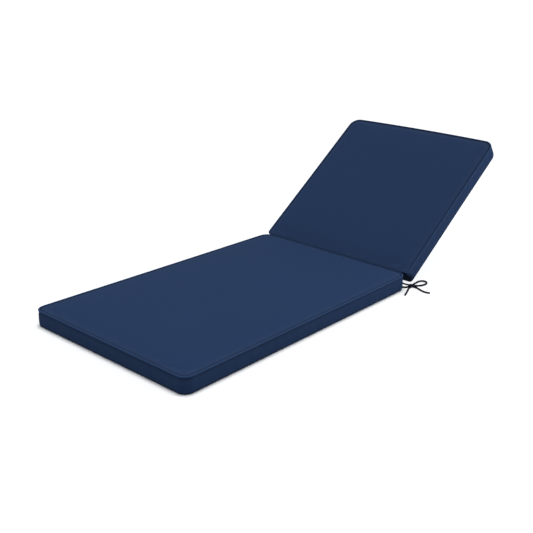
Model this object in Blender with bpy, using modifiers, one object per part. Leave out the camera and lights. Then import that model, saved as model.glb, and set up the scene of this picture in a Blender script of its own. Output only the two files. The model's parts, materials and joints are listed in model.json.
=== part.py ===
"""Sun lounger cushion: a seat pad and a raised back pad of boxed cloth, piped, hinged and tied.

Metres, +Z up. X runs across the cushion, +Y from the foot to the head, and Z = 0 is the
surface that the seat pad lies on. Y = 0 is halfway between the foot and the head.
"""
import math
from collections import namedtuple

import bmesh
import bpy
from mathutils import Vector

# Seam-to-seam sizes of the two pads.
WIDTH = 0.700
SEAT_LENGTH = 1.080
BACK_LENGTH = 0.700
THICKNESS = 0.054
BACK_ANGLE = math.radians(35.2)

# Corner radii of each pad, at its near end (foot or hinge) and at its far end (hinge or head).
Corners = namedtuple("Corners", "near far")
SEAT_CORNERS = Corners(0.030, 0.040)
BACK_CORNERS = Corners(0.012, 0.038)

# How far the foot seam lies behind the origin.
FOOT_TO_ORIGIN = 0.8447

# Filling: the crown of each face, how the long sides pull in between the corners and towards
# the hinge seam and stand out at the free end, and how far the head edge bows outwards.
CROWN = 0.007
CROWN_REACH = 0.140
DRAW_IN = 0.0006
HINGE_PULL = 0.0035
END_FLARE = 0.0025
HEAD_BOW = 0.0050

# One pad: its seam-to-seam length, its corners, and its hinge end (0 for the near end, 1 for the far).
PadForm = namedtuple("PadForm", "length corners head_bow hinge_at")
SEAT_FORM = PadForm(SEAT_LENGTH, SEAT_CORNERS, 0.0, 1.0)
BACK_FORM = PadForm(BACK_LENGTH, BACK_CORNERS, HEAD_BOW, 0.0)

# Piping in the face seam, and the clearance between touching pieces.
GAP = 0.0003
PIPING_RADIUS = 0.0028
PIPING_SIDES_EACH_CORNER = 6
PIPING_RUN_STEP = 0.150

# The cover beside the piping: how far the face stands over it, and the boxing beyond it.
FACE_LIP = 0.0006
BOXING_LIP = 0.0002
BOXING_BULGE = 0.0018
UNDERSIDE_TUCK = 0.0006
LOWER_EDGE = 0.0032
LOWER_LIP = 0.0020

# Hinge tape between the two pads.
HINGE_LENGTH = 0.588
HINGE_THICKNESS = 0.0015
HINGE_HALF_WIDTH = 0.0039
HINGE_DEPTH = 0.0043
HINGE_EDGE_ROUND = 0.0004

# Tie of round cord at the hinge corner on the +X side.
TIE_DIAMETER = 0.0060
TIE_POINT_STEP = 0.010
KNOT_AXES = (0.0075, 0.0072, 0.0064)
KNOT_TURN = math.radians(-25.0)
KNOT_WAIST = 0.12
KNOT_WAIST_WIDTH = 0.30

# One column for each size: where the cage is cut (a share of the height), how far the ring
# stands out from the seam line, its height, and how sharply the cloth is folded there.
Ring = namedtuple("Ring", "cut outset height crease")
WELT_SET = math.sqrt(2.0) * (PIPING_RADIUS + GAP)
RINGS = (
    Ring(1.00, -WELT_SET - FACE_LIP, THICKNESS + FACE_LIP, 1.0),
    Ring(0.85, BOXING_LIP, THICKNESS - WELT_SET - BOXING_LIP, 1.0),
    Ring(0.60, BOXING_BULGE, 0.60 * THICKNESS, 0.0),
    Ring(0.35, BOXING_BULGE, 0.36 * THICKNESS, 0.0),
    Ring(0.15, LOWER_LIP, LOWER_EDGE, 0.0),
    Ring(0.00, -UNDERSIDE_TUCK, 0.0, 1.0),
)

# The tie's routes in millimetres, from the seat's hinge corner on the surface (+X side).
KNOT_CENTRE = (1.3, 24.2, 6.8)
UPPER_STRAND = ((-19.0, -4.4, 19.0), (-14.4, 3.4, 15.0), (-10.2, 11.6, 11.4), (-5.6, 19.6, 8.6))
LOWER_STRAND = (
    (-21.2, -3.8, 4.8), (-15.4, -1.5, 3.5), (-10.0, 1.5, 3.1), (-6.2, 5.8, 3.1),
    (-3.6, 10.8, 3.4), (-1.6, 15.8, 4.8),
)
RIGHT_END = (
    (9.1, 25.4, 5.8), (15.4, 27.2, 4.4), (24.0, 27.8, 3.1), (34.6, 24.8, 3.1), (51.0, 17.6, 3.1),
    (65.2, 13.6, 3.1), (78.0, 13.6, 3.1), (89.5, 17.6, 3.1),
)
LEFT_END = (
    (5.4, 17.6, 5.0), (6.2, 8.6, 3.2), (8.8, -1.0, 3.1), (12.7, -10.0, 3.1), (18.0, -22.4, 3.1),
    (23.5, -35.0, 3.1), (28.6, -48.0, 3.1), (33.5, -60.6, 3.1),
)
BOW_LOOP = (
    (0.0, 31.5, 5.4), (-1.8, 43.0, 3.4), (-3.2, 56.0, 3.1), (-4.2, 69.0, 3.1), (-4.6, 81.0, 3.1),
    (-3.2, 91.6, 3.1), (2.0, 100.2, 3.1), (10.4, 104.2, 3.1), (19.4, 102.2, 3.1),
    (26.2, 95.2, 3.1), (29.6, 84.6, 3.1), (29.4, 72.4, 3.1), (26.0, 60.6, 3.1),
    (19.2, 50.0, 3.1), (12.0, 41.0, 3.6), (6.8, 31.6, 5.4),
)

COVER_NAVY = (0.022, 0.042, 0.105, 1.0)
PIPING_NAVY = (0.024, 0.046, 0.113, 1.0)
TAPE_NAVY = (0.018, 0.034, 0.085, 1.0)
CORD_NAVY = (0.014, 0.027, 0.068, 1.0)


def clear_scene():
    """Start from an empty scene."""
    for item in list(bpy.data.objects):
        bpy.data.objects.remove(item, do_unlink=True)


def cloth_material(name, colour, roughness):
    """A plain cloth finish in one colour."""
    material = bpy.data.materials.new(name)
    material.use_nodes = True
    shader = material.node_tree.nodes["Principled BSDF"]
    shader.inputs["Base Color"].default_value = colour
    shader.inputs["Roughness"].default_value = roughness
    shader.inputs["Metallic"].default_value = 0.0
    return material


def add_frame(name, collection, location, tilt=0.0):
    """An empty that carries the pieces of one pad."""
    frame = bpy.data.objects.new(name, None)
    frame.location = location
    frame.rotation_euler = (tilt, 0.0, 0.0)
    collection.objects.link(frame)
    return frame


def add_object(name, data, collection, parent, material):
    """Link a piece, parent it to its frame and give it its cloth."""
    piece = bpy.data.objects.new(name, data)
    piece.parent = parent
    collection.objects.link(piece)
    data.materials.append(material)
    return piece


def settle(x, y, form):
    """Pull the long sides in towards the hinge, and bow the head edge outwards."""
    along = min(max(y / form.length, 0.0), 1.0)
    across = 2.0 * x / WIDTH
    near_hinge = 1.0 - abs(along - form.hinge_at)
    pull = DRAW_IN * math.sin(math.pi * along) ** 2 + HINGE_PULL * near_hinge ** 2
    x -= across * (pull - END_FLARE * (1.0 - near_hinge) ** 2)
    y += form.head_bow * (1.0 - min(across * across, 1.0)) * along ** 3
    return x, y


def nearest_inner_point(x, y, form):
    """The point closest to (x, y) on the outline through the corners' centres."""
    near, far = form.corners
    half = 0.5 * WIDTH - (near if y < 0.5 * form.length else far)
    return max(-half, min(half, x)), max(near, min(form.length - far, y))


def stations(low, high, near_cuts, far_cuts, spans):
    """Cuts across a pad: those near each end, and an even run between them."""
    start = low + max(near_cuts)
    run = (high - max(far_cuts) - start) / spans
    between = [start + run * step for step in range(1, spans)]
    return [low + cut for cut in near_cuts] + between + [high - cut for cut in far_cuts]


def pad_cage(form, spans_across, spans_along):
    """A box cut into the cage of one pad."""
    length, corners = form.length, form.corners
    cage = bmesh.new()
    bmesh.ops.create_cube(cage, size=1.0)
    bmesh.ops.scale(cage, vec=(WIDTH, length, THICKNESS), verts=cage.verts[:])
    bmesh.ops.translate(cage, vec=(0.0, 0.5 * length, 0.5 * THICKNESS), verts=cage.verts[:])
    small, large = sorted(corners)
    side_cuts = (0.5 * small, small, large) if large - small > 0.5 * small else (0.5 * large, large)
    across = stations(-0.5 * WIDTH, 0.5 * WIDTH, side_cuts, side_cuts, spans_across)
    near_cuts = (0.5 * corners.near, corners.near)
    far_cuts = (0.5 * corners.far, corners.far)
    along = stations(0.0, length, near_cuts, far_cuts, spans_along)
    cuts = [((x, 0.0, 0.0), (1.0, 0.0, 0.0)) for x in across]
    cuts += [((0.0, y, 0.0), (0.0, 1.0, 0.0)) for y in along]
    cuts += [((0.0, 0.0, ring.cut * THICKNESS), (0.0, 0.0, 1.0)) for ring in RINGS[1:-1]]
    for point, normal in cuts:
        whole = cage.verts[:] + cage.edges[:] + cage.faces[:]
        bmesh.ops.bisect_plane(cage, geom=whole, plane_co=point, plane_no=normal, dist=1e-6)
    return cage


def ring_of(z):
    """The row of the ring table that a cage height belongs to."""
    return min(RINGS, key=lambda ring: abs(ring.cut * THICKNESS - z))


def shape_vertex(place, form):
    """Move one cage point to its place on the filled pad."""
    ring = ring_of(place.z)
    inner_x, inner_y = nearest_inner_point(place.x, place.y, form)
    step_x = place.x - inner_x
    step_y = place.y - inner_y
    reach = math.hypot(step_x, step_y)
    square_reach = max(abs(step_x), abs(step_y))
    on_side = is_on_side(place, form.length)
    height = ring.height
    x, y = place.x, place.y
    if reach > 1e-9:
        distance = square_reach + (ring.outset if on_side else 0.0)
        x = inner_x + step_x / reach * distance
        y = inner_y + step_y / reach * distance
    if not on_side and ring is RINGS[0]:
        edge = min(0.5 * WIDTH - abs(place.x), place.y, form.length - place.y)
        share = min(edge / CROWN_REACH, 1.0)
        height += CROWN * (1.0 - (1.0 - share) ** 2)
    x, y = settle(x, y, form)
    return Vector((x, y, height))


def build_pad(name, form, spans_across, spans_along, collection, parent, material):
    """One filled pad: a cage moved to the pad's form, then subdivided."""
    cage = pad_cage(form, spans_across, spans_along)
    crease = cage.edges.layers.float.new("crease_edge")
    for edge in cage.edges:
        rings = {ring_of(vertex.co.z) for vertex in edge.verts}
        side = all(is_on_side(vertex.co, form.length) for vertex in edge.verts)
        if len(rings) == 1 and side:
            edge[crease] = rings.pop().crease
    for vertex in cage.verts:
        vertex.co = shape_vertex(vertex.co.copy(), form)
    mesh = bpy.data.meshes.new(name)
    cage.to_mesh(mesh)
    cage.free()
    mesh.shade_smooth()
    pad = add_object(name, mesh, collection, parent, material)
    subdivide = pad.modifiers.new("filling", "SUBSURF")
    subdivide.levels = 1
    subdivide.render_levels = 1
    return pad


def is_on_side(place, length):
    """Whether a point of the uncut box lies on one of its four sides."""
    at_side = abs(abs(place.x) - 0.5 * WIDTH) < 1e-6
    at_end = abs(place.y) < 1e-6 or abs(place.y - length) < 1e-6
    return at_side or at_end


def seam_path(form):
    """Points of the face seam, once around the pad, counter-clockwise seen from its face."""
    half = 0.5 * WIDTH
    length = form.length
    near, far = form.corners
    arcs = (
        (half - near, near, near, -90.0), (half - far, length - far, far, 0.0),
        (far - half, length - far, far, 90.0), (near - half, near, near, 180.0),
    )
    path = []
    for number, (centre_x, centre_y, radius, first_angle) in enumerate(arcs):
        for step in range(PIPING_SIDES_EACH_CORNER + 1):
            angle = math.radians(first_angle + 90.0 * step / PIPING_SIDES_EACH_CORNER)
            path.append((centre_x + radius * math.cos(angle), centre_y + radius * math.sin(angle)))
        start = path[-1]
        next_x, next_y, next_radius, next_angle = arcs[(number + 1) % len(arcs)]
        angle = math.radians(next_angle)
        end = (next_x + next_radius * math.cos(angle), next_y + next_radius * math.sin(angle))
        steps = max(1, round(math.dist(start, end) / PIPING_RUN_STEP))
        for step in range(1, steps):
            share = step / steps
            path.append((start[0] + (end[0] - start[0]) * share, start[1] + (end[1] - start[1]) * share))
    settled = [settle(x, y, form) for x, y in path]
    return [(x, y, THICKNESS) for x, y in settled]


def tube(name, points, radius, closed, collection, parent, material):
    """A round tube along a line of points, closed on itself or capped at both ends."""
    curve = bpy.data.curves.new(name, "CURVE")
    curve.dimensions = "3D"
    curve.bevel_depth = radius
    curve.bevel_resolution = 2
    curve.use_fill_caps = True
    spline = curve.splines.new("POLY")
    spline.points.add(len(points) - 1)
    for point, place in zip(spline.points, points):
        point.co = (place[0], place[1], place[2], 1.0)
    spline.use_cyclic_u = closed
    return add_object(name, curve, collection, parent, material)


def smooth_route(route, step):
    """Read points from a smooth curve through a route's own points."""
    places = [Vector(point) * 0.001 for point in route]
    ends = [places[0] * 2.0 - places[1]] + places + [places[-1] * 2.0 - places[-2]]
    points = [places[0]]
    for number in range(1, len(ends) - 2):
        before, start, end, after = ends[number - 1:number + 3]
        parts = max(1, round((end - start).length / step))
        for part in range(1, parts + 1):
            t = part / parts
            points.append(0.5 * (
                2.0 * start + (end - before) * t
                + (2.0 * before - 5.0 * start + 4.0 * end - after) * t * t
                + (3.0 * start - before - 3.0 * end + after) * t ** 3
            ))
    return points


def build_knot(collection, parent, material):
    """The drawn-up knot of the tie, a rounded lump with a waist where the cord wraps it."""
    form = bmesh.new()
    bmesh.ops.create_uvsphere(form, u_segments=16, v_segments=10, radius=1.0)
    for vertex in form.verts:
        waist = 1.0 - KNOT_WAIST * math.exp(-(vertex.co.y / KNOT_WAIST_WIDTH) ** 2)
        x, y, z = vertex.co
        vertex.co = (x * waist * KNOT_AXES[0], y * KNOT_AXES[1], z * waist * KNOT_AXES[2])
    mesh = bpy.data.meshes.new("tie_knot")
    form.to_mesh(mesh)
    form.free()
    mesh.shade_smooth()
    knot = add_object("tie_knot", mesh, collection, parent, material)
    knot.location = Vector(KNOT_CENTRE) * 0.001
    knot.rotation_euler = (0.0, 0.0, KNOT_TURN)
    return knot


def build_hinge(collection, parent, material):
    """The tape that joins the pads under the two pipings, in the opening between their ends."""
    bpy.ops.mesh.primitive_cube_add(size=1.0)
    tape = bpy.context.active_object
    tape.name = "hinge_tape"
    tape.data.name = "hinge_tape"
    for owner in list(tape.users_collection):
        owner.objects.unlink(tape)
    collection.objects.link(tape)
    for vertex in tape.data.vertices:
        vertex.co.x *= HINGE_LENGTH
        vertex.co.y *= 2.0 * HINGE_HALF_WIDTH
        vertex.co.z *= HINGE_THICKNESS
    bevel = tape.modifiers.new("folded edges", "BEVEL")
    bevel.width = HINGE_EDGE_ROUND
    bevel.segments = 2
    tape.data.materials.append(material)
    half_angle = 0.5 * BACK_ANGLE
    tape.parent = parent
    tape.location = (0.0, HINGE_DEPTH * math.sin(half_angle), -HINGE_DEPTH * math.cos(half_angle))
    tape.rotation_euler = (half_angle, 0.0, 0.0)
    return tape


def build_cushion():
    """Build every piece of the cushion."""
    clear_scene()
    collection = bpy.data.collections.new("sun_lounger_cushion")
    bpy.context.scene.collection.children.link(collection)
    cover = cloth_material("cover_cloth", COVER_NAVY, 0.85)
    piping_cloth = cloth_material("piping_cloth", PIPING_NAVY, 0.80)
    tape_cloth = cloth_material("hinge_cloth", TAPE_NAVY, 0.90)
    cord = cloth_material("tie_cord", CORD_NAVY, 0.80)

    setback = (PIPING_RADIUS + 0.5 * GAP) / math.cos(0.5 * BACK_ANGLE)
    crease = Vector((0.0, SEAT_LENGTH + setback - FOOT_TO_ORIGIN, THICKNESS))
    along_back = Vector((0.0, math.cos(BACK_ANGLE), math.sin(BACK_ANGLE)))
    off_back = Vector((0.0, -math.sin(BACK_ANGLE), math.cos(BACK_ANGLE)))
    seat_frame = add_frame("seat_frame", collection, (0.0, -FOOT_TO_ORIGIN, 0.0))
    back_origin = crease + along_back * setback - off_back * THICKNESS
    back_frame = add_frame("back_frame", collection, back_origin, BACK_ANGLE)
    hinge_frame = add_frame("hinge_frame", collection, crease)
    corner = (0.5 * WIDTH, SEAT_LENGTH - FOOT_TO_ORIGIN, 0.0)
    tie_frame = add_frame("tie_frame", collection, corner)

    build_pad("seat_pad", SEAT_FORM, 4, 6, collection, seat_frame, cover)
    build_pad("back_pad", BACK_FORM, 4, 4, collection, back_frame, cover)
    for name, form, frame in (
        ("seat_piping", SEAT_FORM, seat_frame), ("back_piping", BACK_FORM, back_frame),
    ):
        tube(name, seam_path(form), PIPING_RADIUS, True, collection, frame, piping_cloth)
    build_hinge(collection, hinge_frame, tape_cloth)
    for name, route in (
        ("tie_upper_strand", UPPER_STRAND), ("tie_lower_strand", LOWER_STRAND),
        ("tie_right_end", RIGHT_END), ("tie_left_end", LEFT_END), ("tie_bow_loop", BOW_LOOP),
    ):
        points = smooth_route(route, TIE_POINT_STEP)
        tube(name, points, 0.5 * TIE_DIAMETER, False, collection, tie_frame, cord)
    build_knot(collection, tie_frame, cord)
    bpy.context.view_layer.update()


build_cushion()
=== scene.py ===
"""The looks of a sun lounger cushion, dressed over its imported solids.

Metres, +Z up. X runs across the cushion, +Y from the foot to the head, and Z = 0 is the surface
that the seat pad lies on. Every finished piece has its place in its mesh.
"""
from __future__ import annotations

import json
import logging
import math
from dataclasses import dataclass, field
from enum import Enum
from typing import Any, Callable, Iterable, Sequence

import bmesh
import bpy
import numpy as np
from mathutils import Matrix, Vector

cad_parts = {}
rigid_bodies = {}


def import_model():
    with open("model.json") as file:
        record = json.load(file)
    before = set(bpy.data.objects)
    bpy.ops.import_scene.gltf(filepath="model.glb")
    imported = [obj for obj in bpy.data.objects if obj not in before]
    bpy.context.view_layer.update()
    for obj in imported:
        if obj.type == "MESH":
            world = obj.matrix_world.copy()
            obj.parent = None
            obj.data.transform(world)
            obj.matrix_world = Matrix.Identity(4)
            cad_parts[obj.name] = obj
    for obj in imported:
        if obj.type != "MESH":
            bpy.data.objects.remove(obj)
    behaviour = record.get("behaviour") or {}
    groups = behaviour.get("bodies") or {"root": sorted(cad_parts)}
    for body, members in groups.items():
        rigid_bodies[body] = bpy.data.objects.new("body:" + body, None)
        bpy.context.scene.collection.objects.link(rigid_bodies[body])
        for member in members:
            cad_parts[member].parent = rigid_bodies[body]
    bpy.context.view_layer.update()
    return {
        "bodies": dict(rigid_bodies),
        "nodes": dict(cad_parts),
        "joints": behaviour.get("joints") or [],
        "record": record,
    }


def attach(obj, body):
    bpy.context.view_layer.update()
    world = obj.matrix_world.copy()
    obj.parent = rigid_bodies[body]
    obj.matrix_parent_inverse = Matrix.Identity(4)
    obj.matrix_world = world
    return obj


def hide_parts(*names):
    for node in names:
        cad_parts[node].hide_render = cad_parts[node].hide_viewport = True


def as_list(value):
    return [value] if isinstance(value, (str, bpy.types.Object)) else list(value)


log = logging.getLogger("sun_lounger_cushion")

Colour = tuple[float, float, float]
Point = tuple[float, float, float]
Pair = tuple[float, float]

IMAGE_SIDE = 533
SENSOR_WIDTH = 36.0
MILLIMETRE = 0.001
TOLERANCE = 1e-5

# How far into a corner the cloth's grid lines lie, as shares of the corner's radius.
CORNER_SHARES = (0.0, 0.15, 0.32, 0.50, 0.68, 0.84)
# A face whose normal leans up or down by less than this belongs to the boxing.
BOXING_LEAN = 0.7

COVER_NAVY: Colour = (0.0108, 0.0236, 0.0585)
# The piping is the cover's cloth, painted lighter as a painted highlight along its ridge.
PIPING_NAVY_PAINTED_HIGHLIGHT: Colour = (0.0150, 0.0320, 0.0760)
TAPE_NAVY: Colour = (0.0090, 0.0190, 0.0480)
CORD_NAVY: Colour = (0.0014, 0.0026, 0.0080)
THREAD_NAVY: Colour = (0.0120, 0.0250, 0.0640)
WORN_CLOTH: Colour = (0.050, 0.066, 0.105)

# What every cloth in the cushion shares: hardly any gloss, and a faint cool sheen.
MATT_CLOTH: dict[str, Any] = {
    "Sheen Roughness": 0.45,
    "Sheen Tint": (0.62, 0.72, 1.0),
    "Specular IOR Level": 0.03,
}


class Panel(Enum):
    """The cloth panels of a pad's cover."""

    FACE = "face"
    BOXING = "boxing"
    UNDERSIDE = "underside"


def scaled(colour: Colour, factor: float) -> Colour:
    """Return a colour made darker or lighter by a factor."""
    return tuple(factor * part for part in colour)


def add_object(name: str, data: bpy.types.ID) -> bpy.types.Object:
    """Make an object from its data and link it to the scene.

    Args:
        name: the object's name.
        data: its mesh, curve, camera or light.

    Returns:
        The object.
    """
    made = bpy.data.objects.new(name, data)
    bpy.context.scene.collection.objects.link(made)
    return made


def evaluated_mesh(item: bpy.types.Object) -> bpy.types.Mesh:
    """Keep an object's shape with its modifiers applied.

    Args:
        item: the object.

    Returns:
        A new mesh.
    """
    bpy.context.view_layer.update()
    evaluated = item.evaluated_get(bpy.context.evaluated_depsgraph_get())
    return bpy.data.meshes.new_from_object(evaluated)


class Signal:
    """A value on its way through a node tree, written as an expression."""

    def __init__(self, desk: "NodeDesk", socket: bpy.types.NodeSocket) -> None:
        """Wrap one output socket of a node."""
        self.desk = desk
        self.socket = socket

    def _math(self, operation: str, first: Any, second: Any = None) -> "Signal":
        """Add one Math node.

        Args:
            operation: the Math node's operation.
            first: its first value, a number or a Signal.
            second: its second value, if the operation has one.

        Returns:
            The node's result.
        """
        values = {0: first} if second is None else {0: first, 1: second}
        return self.desk.node("ShaderNodeMath", {"operation": operation}, values)

    def __add__(self, other: Any) -> "Signal":
        """Return self + other."""
        return self._math("ADD", self, other)

    __radd__ = __add__

    def __sub__(self, other: Any) -> "Signal":
        """Return self - other."""
        return self._math("SUBTRACT", self, other)

    def __rsub__(self, other: Any) -> "Signal":
        """Return other - self."""
        return self._math("SUBTRACT", other, self)

    def __mul__(self, other: Any) -> "Signal":
        """Return self * other."""
        return self._math("MULTIPLY", self, other)

    __rmul__ = __mul__

    def __truediv__(self, other: Any) -> "Signal":
        """Return self / other."""
        return self._math("DIVIDE", self, other)

    def __rtruediv__(self, other: Any) -> "Signal":
        """Return other / self."""
        return self._math("DIVIDE", other, self)

    def sine(self) -> "Signal":
        """Return the sine of self."""
        return self._math("SINE", self)

    def size(self) -> "Signal":
        """Return self without its sign."""
        return self._math("ABSOLUTE", self)

    def power(self, exponent: float) -> "Signal":
        """Return self raised to a power."""
        return self._math("POWER", self, exponent)

    def larger(self, other: Any) -> "Signal":
        """Return the larger of self and other."""
        return self._math("MAXIMUM", self, other)

    def angle_with(self, other: "Signal") -> "Signal":
        """Return the angle whose tangent is self / other, over the whole turn."""
        return self._math("ARCTAN2", self, other)

    def above(self, limit: Any) -> "Signal":
        """Return 1 where self is above a limit, otherwise 0."""
        return self._math("GREATER_THAN", self, limit)


class NodeDesk:
    """Builds the nodes of one tree."""

    def __init__(self, tree: bpy.types.NodeTree) -> None:
        """Start on a tree."""
        self.tree = tree

    def node(
        self,
        kind: str,
        settings: dict[str, Any] | None = None,
        values: dict[int | str, Any] | None = None,
        output: int | str = 0,
    ) -> Signal:
        """Add one node, set it up, and fill or link its sockets.

        Args:
            kind: the node's type.
            settings: its own settings.
            values: numbers, colours or Signals for its input sockets, by number or name.
            output: the output socket to return, by number or name.

        Returns:
            The chosen output.
        """
        made = self.tree.nodes.new(kind)
        for key, value in (settings or {}).items():
            setattr(made, key, value)
        for key, value in (values or {}).items():
            self.feed(made.inputs[key], value)
        return Signal(self, made.outputs[output])

    def feed(self, socket: bpy.types.NodeSocket, value: Any) -> None:
        """Link a Signal to a socket, or set the socket's own value.

        Args:
            socket: the input socket.
            value: a Signal, a number, a colour or a name.
        """
        if isinstance(value, Signal):
            self.tree.links.new(value.socket, socket)
        elif isinstance(value, tuple) and len(socket.default_value) == 4:
            socket.default_value = (*value, 1.0)
        else:
            socket.default_value = value

    def parts(self, vector: Signal) -> tuple[Signal, Signal, Signal]:
        """Split a vector into its three numbers.

        Args:
            vector: the vector.

        Returns:
            Its x, y and z.
        """
        split = self.node("ShaderNodeSeparateXYZ", values={0: vector})
        outputs = split.socket.node.outputs
        return tuple(Signal(self, outputs[number]) for number in range(3))

    def crossing(self, angle: Signal, along: Signal, strands: Any, lay: Any) -> Signal:
        """Follow strands that run round a tube both ways.

        Args:
            angle: the place round the tube.
            along: the place along it.
            strands: how many run each way.
            lay: the length in which one goes round once.

        Returns:
            The height of the strand on top, from 0 between strands to 1.
        """
        turn = angle * strands
        climb = along * (2.0 * math.pi * strands / lay)
        return ((turn + climb) * 0.5).sine().size().larger(((turn - climb) * 0.5).sine().size())


class MaterialDesk(NodeDesk):
    """Builds the nodes of one material."""

    def __init__(self, name: str) -> None:
        """Start a material with its Principled shader.

        Args:
            name: the material's name.
        """
        self.material = bpy.data.materials.new(name)
        self.material.use_nodes = True
        super().__init__(self.material.node_tree)
        self.shader = self.tree.nodes["Principled BSDF"]

    def attribute(self, name: str, output: str = "Fac") -> Signal:
        """Read a named attribute of the piece."""
        return self.node("ShaderNodeAttribute", {"attribute_name": name}, output=output)

    def mix_colours(self, share: Signal, first: Any, second: Any) -> Signal:
        """Mix two colours.

        Args:
            share: how much of the second colour.
            first: the first colour.
            second: the second colour.

        Returns:
            The mixed colour.
        """
        return self.node("ShaderNodeMix", {"data_type": "RGBA"}, {0: share, 6: first, 7: second}, output=2)

    def noise(self, place: Signal, scale: float, detail: float = 3.0, roughness: float = 0.5) -> Signal:
        """Add a noise pattern read at a place."""
        values = {"Vector": place, "Scale": scale, "Detail": detail, "Roughness": roughness}
        return self.node("ShaderNodeTexNoise", values=values)

    def closeness(self, place: Signal, line: Pair, span: Pair) -> Signal:
        """Measure how close a place is to a line that runs across the cushion.

        Args:
            place: the place on the piece.
            line: the line's y and z.
            span: the distance up to which the result is 1, and the one from which it is 0.

        Returns:
            A share from 0 to 1.
        """
        _, y, z = self.parts(place)
        distance = ((y - line[0]).power(2.0) + (z - line[1]).power(2.0)).power(0.5)
        return self.node("ShaderNodeMapRange", {"interpolation_type": "SMOOTHSTEP"}, {
            "Value": distance, "From Min": span[0], "From Max": span[1], "To Min": 1.0, "To Max": 0.0,
        })

    def finish(self, sockets: dict[str, Any]) -> bpy.types.Material:
        """Fill the shader's sockets.

        Args:
            sockets: a value or a Signal for each named socket.

        Returns:
            The material.
        """
        for name, value in sockets.items():
            self.feed(self.shader.inputs[name], value)
        return self.material


@dataclass(frozen=True)
class WovenCloth:
    """A plain-woven outdoor cloth, laid out on the piece's own cloth map in metres.

    Its colour carries painted shade: it is painted darker in the grooves of its sewn folds, in the crease
    between the pads and in the gap under the crease.
    """

    name: str
    colour: Colour
    crease: Pair
    roughness: float = 0.78
    thread_pitch: float = 0.00075
    thread_relief: float = 0.00007
    thread_contrast: float = 0.22
    slub_scale: float = 240.0
    slub_contrast: float = 0.16
    patch_scale: float = 3.2
    fade: float = 0.10
    wear: float = 0.35
    wear_scale: float = 38.0
    sheen: float = 0.01
    pucker_scale: Point = (110.0, 34.0, 1.0)
    pucker_relief: float = 0.0004
    fold_shade: float = 0.85
    gap_below: Pair = (0.014, -0.030)
    crease_span: Pair = (0.0030, 0.0056)
    gap_span: Pair = (0.014, 0.034)
    foldless_span: Pair = (0.012, 0.022)

    def shade(self, desk: MaterialDesk, place: Signal) -> Signal:
        """Work out how much painted shade the cloth gets in folds, in the crease and in the gap under it.

        Args:
            desk: the material's node desk.
            place: the place on the piece.

        Returns:
            A share from 0 to 1.
        """
        at_hinge = desk.closeness(place, self.crease, self.foldless_span)
        # Painted shade in the grooves of the sewn folds, left out next to the hinge.
        fold = desk.attribute("fold") * (1.0 - at_hinge) * self.fold_shade
        # Painted shade in the gap under the crease, over the back pad's lower corner and the seat's boxing
        # near the hinge.
        gap = tuple(start + step for start, step in zip(self.crease, self.gap_below))
        # Painted shade in the crease between the pads.
        painted_crease_shade = desk.closeness(place, self.crease, self.crease_span)
        return fold.larger(painted_crease_shade).larger(desk.closeness(place, gap, self.gap_span) * self.fold_shade)

    def make(self) -> bpy.types.Material:
        """Build the cloth.

        Returns:
            The material, which reads the cloth map, the "seam" attribute and the attribute of painted shade
            in the folds.
        """
        desk = MaterialDesk(self.name)
        cloth_map = desk.node("ShaderNodeUVMap", {"uv_map": "cloth"})
        place = desk.node("ShaderNodeTexCoord", output="Object")
        across, along, _ = desk.parts(cloth_map)
        turn = math.pi / self.thread_pitch
        warp = (across * turn).sine()
        weft = (along * turn).sine()
        over = (warp * weft).above(0.0)
        weave = warp.size() * over + weft.size() * (1.0 - over)

        patches = desk.noise(place, self.patch_scale, 4.0, 0.55)
        slubs = desk.noise(cloth_map, self.slub_scale, 2.0, 0.6)
        rubbing = desk.noise(place, self.wear_scale, 3.0)
        seam = desk.attribute("seam")
        tone = (patches - 0.5) * self.fade * 2.0 + (slubs - 0.5) * self.slub_contrast
        tone = tone + (weave - 0.6) * self.thread_contrast
        colour = desk.mix_colours(tone + 0.5, scaled(self.colour, 0.72), scaled(self.colour, 1.28))
        worn = tuple(0.5 * (part + level) for part, level in zip(self.colour, WORN_CLOTH))
        colour = desk.mix_colours(seam * rubbing * self.wear, colour, worn)
        # Painted shade: the folds, the crease and the gap under it are painted darker in the colour.
        colour = desk.mix_colours(self.shade(desk, place), colour, scaled(self.colour, 0.16))
        roughness = (patches - 0.5) * 0.10 + (1.0 - weave) * 0.08 + self.roughness

        stretched = desk.node("ShaderNodeMapping", values={"Vector": cloth_map, "Scale": self.pucker_scale})
        puckers = desk.noise(stretched, 1.0, 2.0)
        threads = desk.node("ShaderNodeBump", values={
            "Strength": 0.7, "Distance": self.thread_relief, "Height": weave + slubs * 0.6,
        })
        normal = desk.node("ShaderNodeBump", values={
            "Strength": 1.0, "Distance": self.pucker_relief, "Height": puckers * seam, "Normal": threads,
        })
        return desk.finish({
            "Base Color": colour, "Roughness": roughness, "Normal": normal, "Sheen Weight": self.sheen,
            **MATT_CLOTH,
        })


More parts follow.
